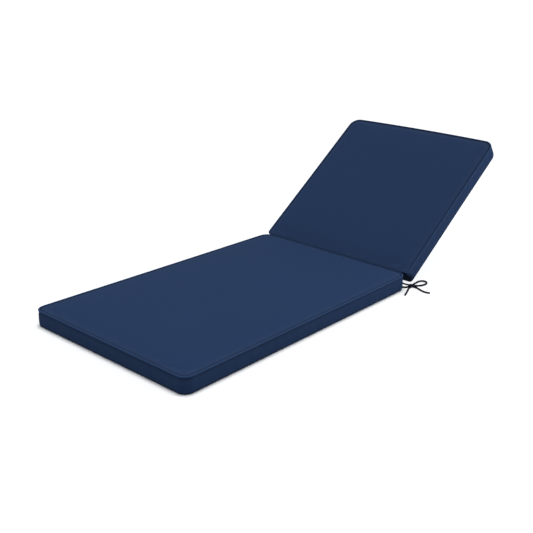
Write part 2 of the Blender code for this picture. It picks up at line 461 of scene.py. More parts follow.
@dataclass(frozen=True)
class TubeCloth:
    """A cloth-covered or braided tube, which reads its own "along" and "around" attributes, with painted
    shade in the crease between the pads.
    """

    name: str
    colour: Colour
    strands: int
    lay: float
    relief: float
    roughness: float = 0.78
    contrast: float = 0.30
    sheen: float = 0.01
    crease: Pair = (0.0, 0.0)
    crease_span: Pair = (0.0032, 0.0054)

    def make(self) -> bpy.types.Material:
        """Build the finish.

        Returns:
            The material, with crossing strands that run round the tube both ways.
        """
        desk = MaterialDesk(self.name)
        cosine, sine, _ = desk.parts(desk.attribute("around", "Vector"))
        turn = sine.angle_with(cosine)
        crossing = desk.crossing(turn, desk.attribute("along"), float(self.strands), self.lay)
        place = desk.node("ShaderNodeTexCoord", output="Object")
        patches = desk.noise(place, 9.0, 3.0)
        fibres = desk.noise(place, 900.0, 2.0)
        tone = (patches - 0.5) * 0.20 + (crossing - 0.8) * self.contrast + (fibres - 0.5) * 0.14
        colour = desk.mix_colours(tone + 0.5, scaled(self.colour, 0.65), scaled(self.colour, 1.35))
        # Painted shade: the piping is painted almost black where it lies in the crease between the pads.
        painted_crease_shade = desk.closeness(place, self.crease, self.crease_span)
        colour = desk.mix_colours(painted_crease_shade, colour, scaled(self.colour, 0.08))
        bump = desk.node("ShaderNodeBump", values={
            "Strength": 0.8, "Distance": self.relief, "Height": crossing + fibres * 0.25,
        })
        roughness = (1.0 - crossing) * 0.12 + self.roughness
        return desk.finish({
            "Base Color": colour, "Roughness": roughness, "Normal": bump, "Sheen Weight": self.sheen,
            **MATT_CLOTH,
        })


@dataclass(frozen=True)
class PlainFinish:
    """An almost even finish, for the floor, the hinge tape and the thread."""

    name: str
    colour: Colour
    roughness: float
    unevenness: float = 0.01

    def make(self) -> bpy.types.Material:
        """Build the finish.

        Returns:
            The material, with faint patches.
        """
        desk = MaterialDesk(self.name)
        place = desk.node("ShaderNodeTexCoord", output="Object")
        patches = desk.noise(place, 1.5, 2.0)
        colour = desk.mix_colours(patches, self.colour, scaled(self.colour, 1.0 - self.unevenness))
        return desk.finish({"Base Color": colour, "Roughness": self.roughness})


class GeometryDesk(NodeDesk):
    """Builds one Geometry Nodes tree, with named inputs."""

    def __init__(self, name: str, inputs: dict[str, tuple[str, Any]]) -> None:
        """Start a tree.

        Args:
            name: the tree's name.
            inputs: each input's socket type and default value.
        """
        super().__init__(bpy.data.node_groups.new(name, "GeometryNodeTree"))
        face = self.tree.interface
        face.new_socket(name="Geometry", in_out="INPUT", socket_type="NodeSocketGeometry")
        for label, (kind, value) in inputs.items():
            socket = face.new_socket(name=label, in_out="INPUT", socket_type=kind)
            if value is not None:
                socket.default_value = value
        face.new_socket(name="Geometry", in_out="OUTPUT", socket_type="NodeSocketGeometry")
        self.start = self.tree.nodes.new("NodeGroupInput")
        self.end = self.tree.nodes.new("NodeGroupOutput")

    def given(self, label: str) -> Signal:
        """Return one of the tree's named inputs."""
        return Signal(self, self.start.outputs[label])

    def store(self, geometry: Signal, name: str, kind: str, value: Signal) -> Signal:
        """Write a named attribute on the points of a geometry.

        Args:
            geometry: the geometry.
            name: the attribute's name.
            kind: its data type.
            value: what is written.

        Returns:
            The geometry with the attribute.
        """
        values = {"Geometry": geometry, "Name": name, "Value": value}
        return self.node("GeometryNodeStoreNamedAttribute", {"data_type": kind, "domain": "POINT"}, values)

    def stored(self, name: str, kind: str) -> Signal:
        """Read a named attribute."""
        return self.node("GeometryNodeInputNamedAttribute", {"data_type": kind}, {"Name": name})

    def close(self, geometry: Signal, cloth: Signal) -> None:
        """End the tree in Realize Instances and Set Material.

        Args:
            geometry: the finished geometry.
            cloth: its material.
        """
        real = self.node("GeometryNodeRealizeInstances", values={0: geometry})
        dressed = self.node("GeometryNodeSetMaterial", values={"Geometry": real, "Material": cloth})
        self.feed(self.end.inputs[0], dressed)

    def run(self, carrier: bpy.types.Object, name: str, inputs: dict[str, Any]) -> bpy.types.Object:
        """Run the tree on an object and keep the result as a plain mesh.

        Args:
            carrier: the object whose geometry goes in; it is removed.
            name: the name of the new piece.
            inputs: values for the tree's named inputs.

        Returns:
            The new mesh object.
        """
        modifier = carrier.modifiers.new(name, "NODES")
        modifier.node_group = self.tree
        for item in self.tree.interface.items_tree:
            if item.in_out == "INPUT" and item.name in inputs:
                modifier[item.identifier] = inputs[item.name]
        mesh = evaluated_mesh(carrier)
        mesh.name = name
        carrier.modifiers.remove(modifier)
        bpy.data.objects.remove(carrier)
        return add_object(name, mesh)


def poly_curve(name: str, *lines: Iterable[Sequence[float]]) -> bpy.types.Object:
    """Make open lines through points, as one curve object.

    Args:
        name: the curve's name.
        lines: the points of each line.

    Returns:
        The curve object.
    """
    curve = bpy.data.curves.new(name, "CURVE")
    curve.dimensions = "3D"
    for line in lines:
        places = [(*place[:3], 1.0) for place in line]
        spline = curve.splines.new("POLY")
        spline.points.add(len(places) - 1)
        for point, place in zip(spline.points, places):
            point.co = place
    return add_object(name, curve)


def smooth_route(route: Sequence[Sequence[float]], step: float) -> list[Vector]:
    """Read points from a smooth curve through a route's own points.

    Args:
        route: the points that the curve passes through.
        step: the distance between the points that come back.

    Returns:
        Points along the curve.
    """
    places = [Vector(point) for point in route]
    ends = [places[0] * 2.0 - places[1]] + places + [places[-1] * 2.0 - places[-2]]
    points = [places[0]]
    for number in range(1, len(ends) - 2):
        before, start, end, after = ends[number - 1:number + 3]
        parts = max(1, round((end - start).length / step))
        for part in range(1, parts + 1):
            t = part / parts
            points.append(0.5 * (
                2.0 * start + (end - before) * t
                + (2.0 * before - 5.0 * start + 4.0 * end - after) * t * t
                + (3.0 * start - before - 3.0 * end + after) * t ** 3
            ))
    return points


def route_length(points: Sequence[Vector]) -> float:
    """Return the length of a line of points."""
    return sum((after - before).length for before, after in zip(points, points[1:]))


def tube_tree() -> GeometryDesk:
    """Make the tree that covers a line with a tube, and writes where each point lies on it.

    Returns:
        A tree with inputs Radius, Sides, Step, Strands, Lay, Relief and Cloth.
    """
    desk = GeometryDesk("tube along a line", {
        "Radius": ("NodeSocketFloat", 0.003),
        "Sides": ("NodeSocketInt", 16),
        "Step": ("NodeSocketFloat", 0.004),
        "Strands": ("NodeSocketFloat", 8.0),
        "Lay": ("NodeSocketFloat", 0.012),
        "Relief": ("NodeSocketFloat", 0.0),
        "Cloth": ("NodeSocketMaterial", None),
    })
    line = desk.node("GeometryNodeResampleCurve", {"mode": "LENGTH"}, {
        "Curve": desk.given("Geometry"), "Length": desk.given("Step"),
    })
    line = desk.store(line, "along", "FLOAT", desk.node("GeometryNodeSplineParameter", output="Length"))
    ring = desk.node("GeometryNodeCurvePrimitiveCircle", {"mode": "RADIUS"}, {
        "Resolution": desk.given("Sides"), "Radius": desk.given("Radius"),
    })
    turned = desk.node("ShaderNodeVectorMath", {"operation": "NORMALIZE"}, {
        0: desk.node("GeometryNodeInputPosition"),
    })
    ring = desk.store(ring, "around", "FLOAT_VECTOR", turned)
    tube = desk.node("GeometryNodeCurveToMesh", values={
        "Curve": line, "Profile Curve": ring, "Fill Caps": True,
    })
    cosine, sine, _ = desk.parts(desk.stored("around", "FLOAT_VECTOR"))
    along = desk.stored("along", "FLOAT")
    crossing = desk.crossing(sine.angle_with(cosine), along, desk.given("Strands"), desk.given("Lay"))
    push = desk.node("ShaderNodeVectorMath", {"operation": "SCALE"}, {
        0: desk.node("GeometryNodeInputNormal"), "Scale": (crossing - 0.8) * desk.given("Relief"),
    })
    moved = desk.node("GeometryNodeSetPosition", values={"Geometry": tube, "Offset": push})
    smooth = desk.node("GeometryNodeSetShadeSmooth", values={"Geometry": moved, "Shade Smooth": True})
    desk.close(smooth, desk.given("Cloth"))
    return desk


def stitch_tree() -> GeometryDesk:
    """Make the tree that sews a run of stitches along a line.

    Returns:
        A tree with inputs Stitch length, Pitch, Thread radius and Cloth.
    """
    desk = GeometryDesk("stitches along a line", {
        "Stitch length": ("NodeSocketFloat", 0.0030),
        "Pitch": ("NodeSocketFloat", 0.0042),
        "Thread radius": ("NodeSocketFloat", 0.00025),
        "Cloth": ("NodeSocketMaterial", None),
    })
    places = desk.node("GeometryNodeCurveToPoints", {"mode": "LENGTH"}, {
        "Curve": desk.given("Geometry"), "Length": desk.given("Pitch"),
    })
    turn = Signal(desk, places.socket.node.outputs["Rotation"])
    stitch = desk.node("GeometryNodeMeshIcoSphere", values={"Radius": 1.0, "Subdivisions": 2})
    radius = desk.given("Thread radius")
    size = desk.node("ShaderNodeCombineXYZ", values={
        0: radius, 1: radius, 2: desk.given("Stitch length") * 0.5,
    })
    run = desk.node("GeometryNodeInstanceOnPoints", values={
        "Points": places, "Instance": stitch, "Rotation": turn, "Scale": size,
    })
    desk.close(run, desk.given("Cloth"))
    return desk


@dataclass(frozen=True)
class PadForm:
    """The outline of one pad: its length, corner radii, head bow and hinge end (0 near, 1 far)."""

    length: float
    near: float
    far: float
    head_bow: float
    hinge_at: float

    def corner(self, y: float) -> float:
        """Return the radius of the corner nearest to a place along the pad."""
        return self.near if y < 0.5 * self.length else self.far


@dataclass(frozen=True)
class Ring:
    """One line round the boxing.

    It has its share of the height, its reach past the seam, its height, and how much painted shade
    it gets where it lies in a sewn fold (0 to 1).
    """

    share: float
    outset: float
    height: float
    fold: float = 0.0


@dataclass(frozen=True)
class CushionSizes:
    """The sizes that both pads share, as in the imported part."""

    width: float = 0.700
    seat_length: float = 1.080
    back_length: float = 0.700
    thickness: float = 0.054
    back_angle: float = math.radians(35.2)
    foot_to_origin: float = 0.8447
    piping_radius: float = 0.0028
    gap: float = 0.0003

    @property
    def seat_form(self) -> PadForm:
        """Return the seat pad's outline."""
        return PadForm(self.seat_length, near=0.030, far=0.040, head_bow=0.0, hinge_at=1.0)

    @property
    def back_form(self) -> PadForm:
        """Return the back pad's outline."""
        return PadForm(self.back_length, near=0.012, far=0.038, head_bow=0.0050, hinge_at=0.0)

    @property
    def setback(self) -> float:
        """Return how far each pad's seam stays from the crease."""
        return (self.piping_radius + 0.5 * self.gap) / math.cos(0.5 * self.back_angle)

    @property
    def crease(self) -> Vector:
        """Return the middle of the crease between the pads."""
        return Vector((0.0, self.seat_length + self.setback - self.foot_to_origin, self.thickness))

    @property
    def seat_place(self) -> Matrix:
        """Return where the seat pad lies."""
        return Matrix.Translation((0.0, -self.foot_to_origin, 0.0))

    @property
    def back_place(self) -> Matrix:
        """Return where the back pad lies."""
        tilt = Matrix.Rotation(self.back_angle, 4, "X")
        start = self.crease + tilt @ Vector((0.0, self.setback, -self.thickness))
        return Matrix.Translation(start) @ tilt

    @property
    def tie_corner(self) -> Vector:
        """Return the seat's hinge corner on the surface, from which the tie is measured."""
        return Vector((0.5 * self.width, self.seat_length - self.foot_to_origin, 0.0))


# How the cover's cloth behaves while the filling presses it out.
COVER_CLOTH: dict[str, Any] = {
    "quality": 6,
    "mass": 0.25,
    "tension_stiffness": 22.0,
    "compression_stiffness": 22.0,
    "shear_stiffness": 8.0,
    "bending_stiffness": 1.5,
    "use_pressure": True,
    "vertex_group_mass": "sewn",
}


@dataclass
class Pad:
    """One boxed, filled pad with its piping."""

    name: str
    sizes: CushionSizes
    form: PadForm
    place: Matrix
    crown: float = 0.0055
    crown_reach: float = 0.130
    crown_power: float = 2.2
    draw_in: float = 0.0006
    hinge_pull: float = 0.0035
    end_flare: float = 0.0025
    grid: float = 0.0125
    bulge: float = 0.0024
    swell_limit: float = 0.0035
    pressure: float = 4.0
    slack: float = -0.006
    frames: int = 20
    seam_band: float = 0.030
    sewn_ring: int = 5
    flat_share: float = 0.10
    arc_parts: int = 12
    rings: tuple[Ring, ...] = field(init=False)

    def __post_init__(self) -> None:
        """Work out the boxing's rings: the roll into the seam, the bulge and the roll under."""
        top = self.sizes.thickness
        self.rings = (
            # The last number of each ring is painted shade: darker in the groove under the piping and in the
            # roll under the bottom edge.
            Ring(1.000, -0.0072, top + 0.0011, 0.35),
            Ring(0.985, -0.0048, top + 0.0004, 0.80),
            Ring(0.970, -0.0029, top - 0.0005, 1.00),
            Ring(0.950, -0.0017, top - 0.0018, 1.00),
            Ring(0.930, -0.0010, top - 0.0034, 0.80),
            Ring(0.900, -0.0002, top - 0.0056, 0.25),
            Ring(0.860, 0.5 * self.bulge, top - 0.0086),
            Ring(0.740, 0.9 * self.bulge, 0.72 * top),
            Ring(0.600, self.bulge, 0.58 * top),
            Ring(0.440, self.bulge, 0.44 * top),
            Ring(0.280, self.bulge, 0.29 * top),
            Ring(0.160, 0.85 * self.bulge, 0.17 * top),
            Ring(0.100, 0.5 * self.bulge, 0.0052, 0.20),
            Ring(0.060, 0.1 * self.bulge, 0.0025, 0.60),
            Ring(0.030, -0.4 * self.bulge, 0.0009, 1.00),
            Ring(0.000, -0.0024, 0.0, 1.00),
        )

    def stations(self, low: float, high: float, near: float, far: float) -> list[float]:
        """Place the cloth's grid lines along one direction.

        Args:
            low: where the panel starts.
            high: where it ends.
            near: the corner radius at the start.
            far: the corner radius at the end.

        Returns:
            Grid lines, closer together over the corners.
        """
        start = [low + near * share for share in CORNER_SHARES]
        end = [high - far * share for share in reversed(CORNER_SHARES)]
        spans = max(2, round((high - far - low - near) / self.grid))
        middle = np.linspace(low + near, high - far, spans + 1).tolist()
        return start + middle + end

    def settle(self, x: float, y: float) -> tuple[float, float]:
        """Pull the long sides in towards the hinge, flare them at the free end, and bow the head edge.

        Args:
            x: the place across the pad.
            y: the place along it.

        Returns:
            The place where the sewn cover lies.
        """
        along = min(max(y / self.form.length, 0.0), 1.0)
        across = 2.0 * x / self.sizes.width
        near_hinge = 1.0 - abs(along - self.form.hinge_at)
        pull = self.draw_in * math.sin(math.pi * along) ** 2 + self.hinge_pull * near_hinge ** 2
        x -= across * (pull - self.end_flare * (1.0 - near_hinge) ** 2)
        y += self.form.head_bow * (1.0 - min(across * across, 1.0)) * along ** 3
        return x, y

    def shaped(self, place: Vector, ring: Ring, on_side: bool, rises: bool) -> Vector:
        """Move one point of the uncut box to its place on the filled pad.

        Args:
            place: the point on the box.
            ring: the ring of the boxing at its height.
            on_side: whether it lies on one of the four sides.
            rises: whether it lies on the face, which has a crown.

        Returns:
            The point on the pad.
        """
        half = 0.5 * self.sizes.width
        radius = self.form.corner(place.y)
        inner_x = max(radius - half, min(half - radius, place.x))
        inner_y = max(self.form.near, min(self.form.length - self.form.far, place.y))
        step_x, step_y = place.x - inner_x, place.y - inner_y
        reach = math.hypot(step_x, step_y)
        x, y, height = place.x, place.y, ring.height
        if reach > 1e-9:
            distance = max(abs(step_x), abs(step_y)) + (ring.outset if on_side else 0.0)
            if not on_side:
                inset = self.rings[0].outset if rises else self.rings[-1].outset
                distance *= 1.0 + inset / radius
            x = inner_x + step_x / reach * distance
            y = inner_y + step_y / reach * distance
        if rises and not on_side:
            edge = min(half - abs(place.x), place.y, self.form.length - place.y)
            share = min(edge / self.crown_reach, 1.0)
            height += self.crown * (1.0 - (1.0 - share) ** self.crown_power)
        x, y = self.settle(x, y)
        return Vector((x, y, height))

    def shell(self) -> bpy.types.Object:
        """Build the cover before it is filled out.

        Returns:
            The cover as a closed mesh of quads, with its seam attribute and its attribute of painted fold
            shade.
        """
        half = 0.5 * self.sizes.width
        length, near, far = self.form.length, self.form.near, self.form.far
        wider = max(near, far)
        xs = self.stations(-half, half, wider, wider)
        ys = self.stations(0.0, length, near, far)
        levels = list(reversed(self.rings))
        last = (len(xs) - 1, len(ys) - 1, len(levels) - 1)
        form = bmesh.new()
        seam_layer = form.verts.layers.float.new("seam")
        painted_fold_shade_layer = form.verts.layers.float.new("fold")
        points: dict[tuple[int, int, int], bmesh.types.BMVert] = {}

        def point(key: tuple[int, int, int]) -> bmesh.types.BMVert:
            """Find the vertex at a lattice place, which is made when first asked for.

            Args:
                key: the place's three numbers in the lattice.

            Returns:
                The vertex.
            """
            if key not in points:
                i, j, k = key
                box_place = Vector((xs[i], ys[j], levels[k].share * self.sizes.thickness))
                on_side = i in (0, last[0]) or j in (0, last[1])
                vertex = form.verts.new(self.shaped(box_place, levels[k], on_side, k == last[2]))
                edge = min(half - abs(xs[i]), ys[j], length - ys[j])
                drop = (1.0 - levels[k].share) * self.sizes.thickness
                vertex[seam_layer] = max(0.0, 1.0 - (edge + drop) / self.seam_band)
                # Painted shade: how dark the cloth is painted at this ring of the boxing.
                vertex[painted_fold_shade_layer] = levels[k].fold if on_side else 0.0
                points[key] = vertex
            return points[key]

        def panel(make: Callable[[int, int], tuple[int, int, int]], wide: int, tall: int) -> None:
            """Fill one side of the box with quads.

            Args:
                make: turns a place on the side into one in the lattice.
                wide: how many quads one way.
                tall: how many the other way.
            """
            for a in range(wide):
                for b in range(tall):
                    corners = (make(a, b), make(a + 1, b), make(a + 1, b + 1), make(a, b + 1))
                    form.faces.new([point(corner) for corner in corners])

        panel(lambda a, b: (a, b, last[2]), last[0], last[1])
        panel(lambda a, b: (b, a, 0), last[1], last[0])
        panel(lambda a, b: (a, 0, b), last[0], last[2])
        panel(lambda a, b: (last[0], a, b), last[1], last[2])
        panel(lambda a, b: (last[0] - a, last[1], b), last[0], last[2])
        panel(lambda a, b: (0, last[1] - a, b), last[1], last[2])
        mesh = bpy.data.meshes.new(self.name)
        form.to_mesh(mesh)
        form.free()
        return add_object(self.name, mesh)

    def pin_seams(self, cover: bpy.types.Object) -> None:
        """Hold the cover where it is sewn or lies flat, and leave the rest free to swell.

        Args:
            cover: the cover, which gets a group of the points that stay.
        """
        lowest = self.rings[self.sewn_ring].height - TOLERANCE
        highest = self.rings[0].height + TOLERANCE
        under = self.flat_share * self.sizes.thickness
        heights = ((vertex.index, vertex.co.z) for vertex in cover.data.vertices)
        held = [index for index, height in heights if height < under or lowest <= height <= highest]
        cover.vertex_groups.new(name="sewn").add(held, 1.0, "REPLACE")

    def fill_out(self, cover: bpy.types.Object) -> None:
        """Let the filling press the cover out from inside, by cloth simulation.

        Args:
            cover: the cover, whose mesh is changed; no point moves further than the swell limit.
        """
        scene = bpy.context.scene
        start = np.empty(len(cover.data.vertices) * 3)
        cover.data.vertices.foreach_get("co", start)
        self.pin_seams(cover)
        modifier = cover.modifiers.new("filling", "CLOTH")
        for setting, value in COVER_CLOTH.items():
            setattr(modifier.settings, setting, value)
        modifier.settings.uniform_pressure_force = self.pressure
        modifier.settings.shrink_min = self.slack
        modifier.settings.effector_weights.gravity = 0.0
        for frame in range(1, self.frames + 1):
            scene.frame_set(frame)
        evaluated = cover.evaluated_get(bpy.context.evaluated_depsgraph_get())
        swollen = np.empty_like(start)
        evaluated.data.vertices.foreach_get("co", swollen)
        cover.modifiers.remove(modifier)
        cover.vertex_groups.clear()
        scene.frame_set(1)
        move = (swollen - start).reshape(-1, 3)
        length = np.linalg.norm(move, axis=1, keepdims=True)
        move *= self.swell_limit / (self.swell_limit + length)
        log.info("%s swells by up to %.1f mm", self.name, 1000.0 * float(length.max()))
        cover.data.vertices.foreach_set("co", (start.reshape(-1, 3) + move).ravel())

    def map_cloth(self, cover: bpy.types.Object) -> None:
        """Lay the cloth map over the cover, in metres, panel by panel.

        Args:
            cover: the cover, whose mesh gets the map.
        """
        mesh = cover.data
        layer = mesh.uv_layers.new(name="cloth")
        half = 0.5 * self.sizes.width
        for face in mesh.polygons:
            panel = self.panel_of(face.normal)
            runs_along = abs(face.normal.x) > abs(face.normal.y)
            for loop in face.loop_indices:
                spot = mesh.vertices[mesh.loops[loop].vertex_index].co
                if panel is not Panel.BOXING:
                    layer.data[loop].uv = (spot.x + half, spot.y)
                elif runs_along:
                    layer.data[loop].uv = (spot.y, spot.z)
                else:
                    layer.data[loop].uv = (spot.x + half, spot.z)

    @staticmethod
    def panel_of(normal: Vector) -> Panel:
        """Tell which panel a face belongs to.

        Args:
            normal: the face's normal.

        Returns:
            The panel.
        """
        if abs(normal.z) < BOXING_LEAN:
            return Panel.BOXING
        return Panel.FACE if normal.z > 0.0 else Panel.UNDERSIDE

    def cover(self, cloth: bpy.types.Material) -> bpy.types.Object:
        """Build the finished cover.

        Args:
            cloth: the cover's material.

        Returns:
            The cover, in its place.
        """
        cover = self.shell()
        self.fill_out(cover)
        smooth = cover.modifiers.new("smooth", "SUBSURF")
        smooth.levels = smooth.render_levels = 1
        mesh = evaluated_mesh(cover)
        cover.modifiers.clear()
        cover.data = mesh
        self.map_cloth(cover)
        mesh.shade_smooth()
        mesh.materials.append(cloth)
        mesh.transform(self.place)
        return cover

    def seam_path(self, step: float = 0.006) -> list[Vector]:
        """Follow the face seam once round, from the middle of the near edge.

        Args:
            step: the distance between points.

        Returns:
            Points in the cushion's frame.
        """
        half = 0.5 * self.sizes.width
        length, near, far = self.form.length, self.form.near, self.form.far
        arcs = (
            (half - near, near, near, -90.0), (half - far, length - far, far, 0.0),
            (far - half, length - far, far, 90.0), (near - half, near, near, 180.0),
        )
        outline = [(0.0, 0.0)]
        for centre_x, centre_y, radius, first in arcs:
            for part in range(self.arc_parts + 1):
                angle = math.radians(first + 90.0 * part / self.arc_parts)
                outline.append((centre_x + radius * math.cos(angle), centre_y + radius * math.sin(angle)))
        outline.append((0.0, 0.0))
        path = []
        for start, end in zip(outline, outline[1:]):
            parts = max(1, round(math.dist(start, end) / step))
            for part in range(parts):
                share = part / parts
                x, y = self.settle(*(a + (b - a) * share for a, b in zip(start, end)))
                path.append(self.place @ Vector((x, y, self.sizes.thickness)))
        path.append(path[0].copy())
        return path

    def piping(self, tree: GeometryDesk, cloth: bpy.types.Material) -> bpy.types.Object:
        """Build the piping in the face seam.

        Args:
            tree: the tube tree.
            cloth: the piping's material.

        Returns:
            The piping, a tube whose ends meet in the middle of the near edge.
        """
        name = self.name.replace("cover", "piping")
        line = poly_curve(name + "_line", self.seam_path())
        return tree.run(line, name, {"Radius": self.sizes.piping_radius + self.sizes.gap, "Cloth": cloth})


@dataclass
class Hinge:
    """The stitches that hold the hinge tape under the two pipings."""

    sizes: CushionSizes
    length: float = 0.588
    depth: float = 0.0043
    half_width: float = 0.0039
    thickness: float = 0.0015
    inset: float = 0.0008
    bare_end: float = 0.004

    def stitches(self, tree: GeometryDesk, cloth: bpy.types.Material) -> bpy.types.Object:
        """Sew a row of stitches along each edge of the tape, on its underside.

        Args:
            tree: the stitch tree.
            cloth: the thread's material.

        Returns:
            The stitches as one piece.
        """
        half_angle = 0.5 * self.sizes.back_angle
        across = Vector((0.0, math.cos(half_angle), math.sin(half_angle)))
        down = Vector((0.0, math.sin(half_angle), -math.cos(half_angle)))
        middle = self.sizes.crease + down * (self.depth + 0.5 * self.thickness)
        end = Vector((0.5 * self.length - self.bare_end, 0.0, 0.0))
        rows = (middle + across * side * (self.half_width - self.inset) for side in (-1.0, 1.0))
        lines = poly_curve("hinge_stitch_lines", *((row - end, row + end) for row in rows))
        return tree.run(lines, "hinge_stitches", {"Cloth": cloth})


@dataclass
class Tie:
    """The cord tie at the seat's hinge corner: two lengths of cord drawn up in one knot.

    Routes are in millimetres from the seat's hinge corner on the surface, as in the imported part.
    """

    sizes: CushionSizes
    diameter: float = 0.0060
    strands: int = 6
    lay: float = 0.052
    relief: float = 0.0006
    step: float = 0.0025
    knot_centre: Point = (1.3, 24.2, 6.8)
    upper_strand: tuple[Point, ...] = (
        (-19.0, -4.4, 19.0), (-14.4, 3.4, 15.0), (-10.2, 11.6, 11.4), (-5.6, 19.6, 8.6),
    )
    lower_strand: tuple[Point, ...] = (
        (-21.2, -3.8, 4.8), (-15.4, -1.5, 3.5), (-10.0, 1.5, 3.1), (-6.2, 5.8, 3.1),
        (-3.6, 10.8, 3.4), (-1.6, 15.8, 4.8),
    )
    right_end: tuple[Point, ...] = (
        (9.1, 25.4, 5.8), (15.4, 27.2, 4.4), (24.0, 27.8, 3.1), (34.6, 24.8, 3.1),
        (51.0, 17.6, 3.1), (65.2, 13.6, 3.1), (78.0, 13.6, 3.1), (89.5, 17.6, 3.1),
    )
    left_end: tuple[Point, ...] = (
        (5.4, 17.6, 5.0), (6.2, 8.6, 3.2), (8.8, -1.0, 3.1), (12.7, -10.0, 3.1), (18.0, -22.4, 3.1),
        (23.5, -35.0, 3.1), (28.6, -48.0, 3.1), (33.5, -60.6, 3.1),
    )
    bow_loop: tuple[Point, ...] = (
        (0.0, 31.5, 5.4), (-1.8, 43.0, 3.4), (-3.2, 56.0, 3.1), (-4.2, 69.0, 3.1),
        (-4.6, 81.0, 3.1), (-3.2, 91.6, 3.1), (2.0, 100.2, 3.1), (10.4, 104.2, 3.1),
        (19.4, 102.2, 3.1), (26.2, 95.2, 3.1), (29.6, 84.6, 3.1), (29.4, 72.4, 3.1),
        (26.0, 60.6, 3.1), (19.2, 50.0, 3.1), (12.0, 41.0, 3.6), (6.8, 31.6, 5.4),
    )
    outward_turn: Point = (-0.8, 24.0, 5.8)
    return_turn: Point = (6.0, 24.6, 5.8)
    knot_radius: float = 0.0039
    knot_tube: float = 0.0029
    knot_turn: float = math.radians(-25.0)
    knot_points: int = 97

    def braid(self, radius: float, sides: int, cloth: bpy.types.Material) -> dict[str, Any]:
        """Fill in the tube tree's inputs for a braided cord.

        Args:
            radius: the tube's radius.
            sides: how many sides it has.
            cloth: the cord's material.

        Returns:
            A value for each named input.
        """
        return {
            "Radius": radius, "Sides": sides, "Step": 0.0006, "Strands": float(self.strands),
            "Lay": self.lay, "Relief": self.relief, "Cloth": cloth,
        }

    def in_place(self, route: Iterable[Point]) -> list[Vector]:
        """Turn a route into points in metres, in the cushion's frame."""
        return [self.sizes.tie_corner + Vector(point) * MILLIMETRE for point in route]

    def cord(self, name: str, route: Sequence[Point], tree: GeometryDesk, cloth: bpy.types.Material
             ) -> tuple[bpy.types.Object, list[Vector]]:
        """Build one length of cord.

        Args:
            name: the piece's name.
            route: the points that it passes through, in millimetres.
            tree: the tube tree.
            cloth: the cord's material.

        Returns:
            The cord, and the points of its centreline.
        """
        path = smooth_route(self.in_place(route), self.step)
        line = poly_curve(name + "_line", path)
        return tree.run(line, name, self.braid(0.5 * self.diameter, 24, cloth)), path

    @property
    def right_route(self) -> tuple[Point, ...]:
        """Return the route of the cord that comes out higher up and ends to the right."""
        return (*self.upper_strand, self.knot_centre, *self.right_end)

    @property
    def bow_route(self) -> tuple[Point, ...]:
        """Return the route of the lower cord, which makes the loop and ends to the left."""
        return (*self.lower_strand, self.outward_turn, *self.bow_loop, self.return_turn, *self.left_end)

    def knot(self, tree: GeometryDesk, cloth: bpy.types.Material) -> bpy.types.Object:
        """Build the knot, the cord's own turns drawn up tight.

        Args:
            tree: the tube tree.
            cloth: the cord's material.

        Returns:
            The knot.
        """
        centre, = self.in_place([self.knot_centre])
        turn = Matrix.Translation(centre) @ Matrix.Rotation(self.knot_turn, 4, "Z")
        points = []
        for number in range(self.knot_points):
            angle = 2.0 * math.pi * number / (self.knot_points - 1)
            reach = self.knot_radius * (0.62 + 0.38 * math.cos(3.0 * angle))
            points.append(turn @ Vector((
                1.10 * reach * math.cos(2.0 * angle),
                1.05 * reach * math.sin(2.0 * angle),
                0.62 * self.knot_radius * math.sin(3.0 * angle),
            )))
        line = poly_curve("tie_knot_line", points)
        return tree.run(line, "tie_knot_turns", self.braid(self.knot_tube, 20, cloth))


@dataclass(frozen=True)
class PhotoCamera:
    """A camera at the photograph's viewpoint, with its framing."""

    focal_pixels: float = 847.7
    azimuth: float = math.radians(38.378)
    elevation: float = math.radians(17.491)
    roll: float = math.radians(1.769)
    distance: float = 3.2446
    aim: Point = (0.0, 0.2053, 0.175)
    offset_pixels: Pair = (62.23, -41.46)

    def build(self) -> bpy.types.Object:
        """Make the camera and hand it to the scene.

        Returns:
            The camera.
        """
        data = bpy.data.cameras.new("photo_camera")
        data.sensor_width = SENSOR_WIDTH
        data.lens = self.focal_pixels * SENSOR_WIDTH / IMAGE_SIDE
        data.shift_x = -self.offset_pixels[0] / IMAGE_SIDE
        data.shift_y = self.offset_pixels[1] / IMAGE_SIDE
        camera = add_object("photo_camera", data)
        back = Vector((
            math.sin(self.azimuth) * math.cos(self.elevation),
            -math.cos(self.azimuth) * math.cos(self.elevation),
            math.sin(self.elevation),
        ))
        camera.location = Vector(self.aim) + back * self.distance
        turn = (-back).to_track_quat("-Z", "Y").to_matrix().to_4x4()
        turn = turn @ Matrix.Rotation(self.roll, 4, "Z")
        camera.rotation_euler = turn.to_euler()
        bpy.context.scene.camera = camera
        return camera


class LampKind(Enum):
    """How a studio light is made."""

    SOFTBOX = "AREA"
    BROAD_SKYLIGHT = "SUN"


@dataclass(frozen=True)
class Lamp:
    """One soft studio light. Its width is a side in metres, or an angle for a broad skylight."""

    name: str
    kind: LampKind
    place: Point
    target: Point
    width: float
    power: float
    colour: Colour = (1.0, 1.0, 1.0)
    near_floor_only: bool = False

    def build(self, low_pieces: Sequence[bpy.types.Object]) -> None:
        """Hang the light and turn it to its target.

        Args:
            low_pieces: the pieces on the floor, the only ones that shade a light marked so.
        """
        data = bpy.data.lights.new(self.name, self.kind.value)
        if self.kind is LampKind.SOFTBOX:
            data.shape = "SQUARE"
            data.size = self.width
        else:
            data.angle = self.width
        data.energy = self.power
        data.color = self.colour
        lamp = add_object(self.name, data)
        lamp.location = self.place
        aim = Vector(self.target) - Vector(self.place)
        lamp.rotation_euler = aim.to_track_quat("-Z", "Y").to_euler()
        if self.near_floor_only:
            shading = bpy.data.collections.new(self.name + "_shading")
            for piece in low_pieces:
                shading.objects.link(piece)
            lamp.light_linking.blocker_collection = shading


